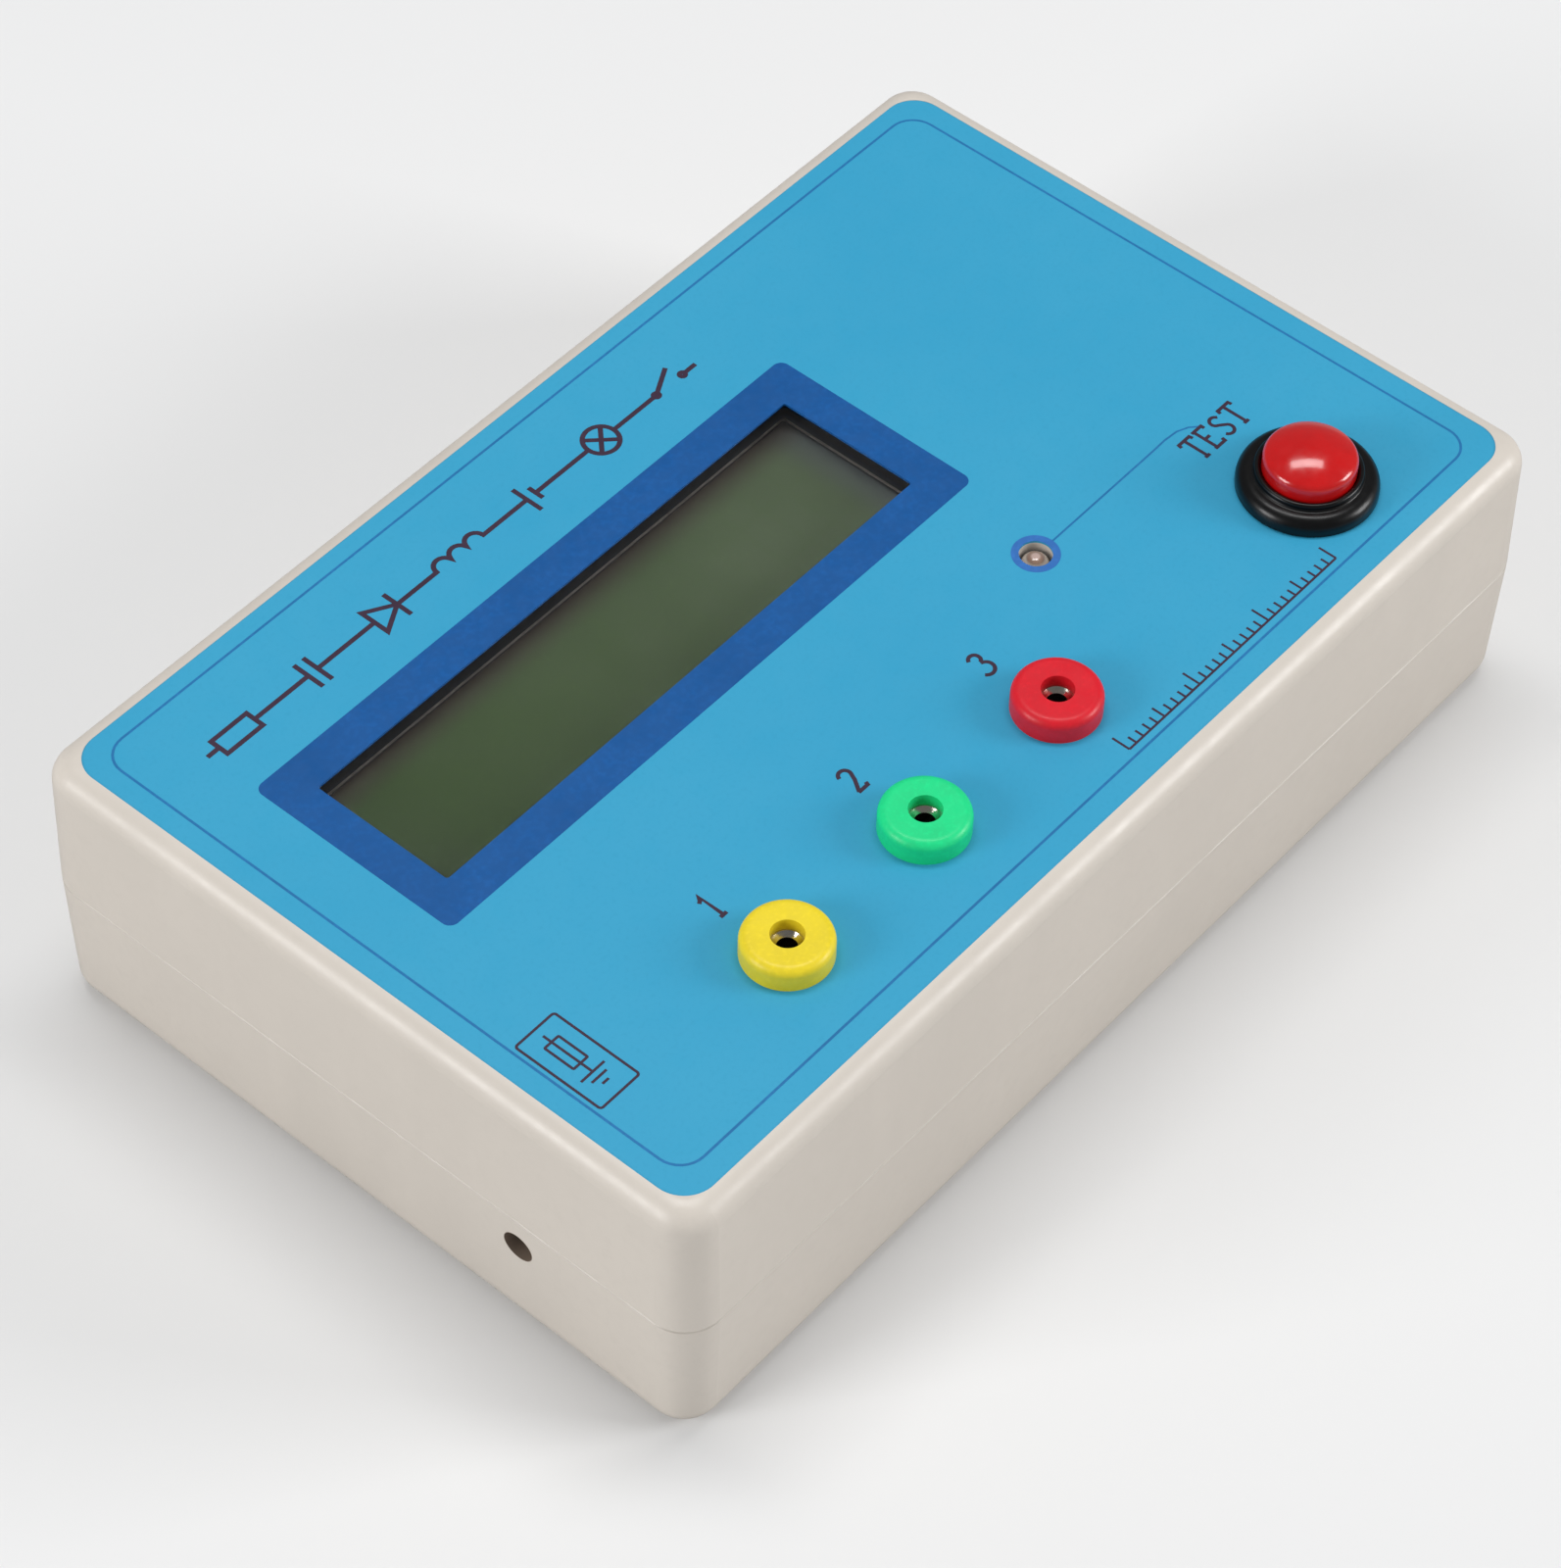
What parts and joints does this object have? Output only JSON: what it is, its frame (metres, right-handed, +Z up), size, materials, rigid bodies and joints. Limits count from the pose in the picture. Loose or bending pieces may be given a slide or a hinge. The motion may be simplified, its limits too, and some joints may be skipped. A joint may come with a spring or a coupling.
{
  "type": "component tester",
  "caption": "Bench tester in a two-part case with a character display, coloured test sockets, a push button, a status lamp and a contrast adjuster behind a side hole.",
  "frame": {"origin": "centre of the underside of the case", "axes": "+X to the right of someone reading the panel, along the case's long side; +Y away from them; +Z up, out of the front panel"},
  "size_m": [0.125, 0.08, 0.0375],
  "materials": {
    "case": "fine matt moulding",
    "screw": "zinc plated",
    "film": "satin printed film",
    "clear": "clear",
    "bezel": "matt black",
    "display": "glossy polariser",
    "strip": "matt",
    "backlight": "milky",
    "board": "solder mask",
    "black_plastic": "matt",
    "tin": "bright",
    "capacitor": "dipped",
    "electrolytic": "sleeve",
    "resistor": "lacquer",
    "trimmer": "matt",
    "rotor": "matt",
    "lamp": "tinted lens",
    "yellow": "glossy",
    "green": "glossy",
    "red": "glossy",
    "nickel": "nickel plated",
    "wire_yellow": "insulation",
    "wire_green": "insulation",
    "wire_red": "insulation",
    "wire_black": "insulation",
    "button_black": "glossy",
    "button_red": "glossy",
    "brass": "plain",
    "spring": "bright wire",
    "battery": "plain wrapped cell block"
  },
  "bodies": {
    "root": {"bottom_shell": "case", "top_shell": "case", "case_screws": "screw", "panel_film": "film", "window_pane": "clear", "lcd_bezel": "bezel", "lcd_cell": "display", "lcd_contact_strips": "strip", "lcd_backlight": "backlight", "lcd_board": "board", "lcd_driver_blobs": "black_plastic", "lcd_header": "black_plastic", "lcd_screws": "screw", "header_socket": "black_plastic", "main_board": "board", "board_screws": "screw", "chip_socket": "black_plastic", "microcontroller": "black_plastic", "crystal": "tin", "disc_capacitors": "capacitor", "electrolytic_capacitors": "electrolytic", "resistors": "resistor", "regulator": "black_plastic", "transistors": "black_plastic", "trimmer_body": "trimmer", "status_lamp": "lamp", "socket_ring_yellow": "yellow", "socket_ring_green": "green", "socket_ring_red": "red", "socket_sleeve_1": "nickel", "socket_sleeve_2": "nickel", "socket_sleeve_3": "nickel", "socket_nuts": "nickel", "socket_wire_yellow": "wire_yellow", "socket_wire_green": "wire_green", "socket_wire_red": "wire_red", "button_body": "button_black", "button_washer": "nickel", "button_nut": "nickel", "button_spring": "spring", "button_contacts": "brass", "button_wires": "wire_black", "battery": "battery", "battery_terminals": "tin", "battery_clip": "black_plastic", "battery_lead_red": "wire_red", "battery_lead_black": "wire_black"},
    "plunger": {"button_cap": "button_red", "button_bridge": "brass"},
    "rotor": {"trimmer_rotor": "rotor"}
  },
  "joints": [
    {"name": "button_press", "type": "slide", "parent": "root", "child": "plunger", "axis": [0, 0, -1], "range_m": [0, 0.0018], "stiffness_N_per_m": 500, "springref_m": -0.004, "deforming": ["button_spring"]},
    {"name": "contrast_turn", "type": "hinge", "parent": "root", "child": "rotor", "pos_m": [-0.0566, -0.0197, 0.012], "axis": [1, 0, 0], "range_deg": [-115, 115]}
  ]
}
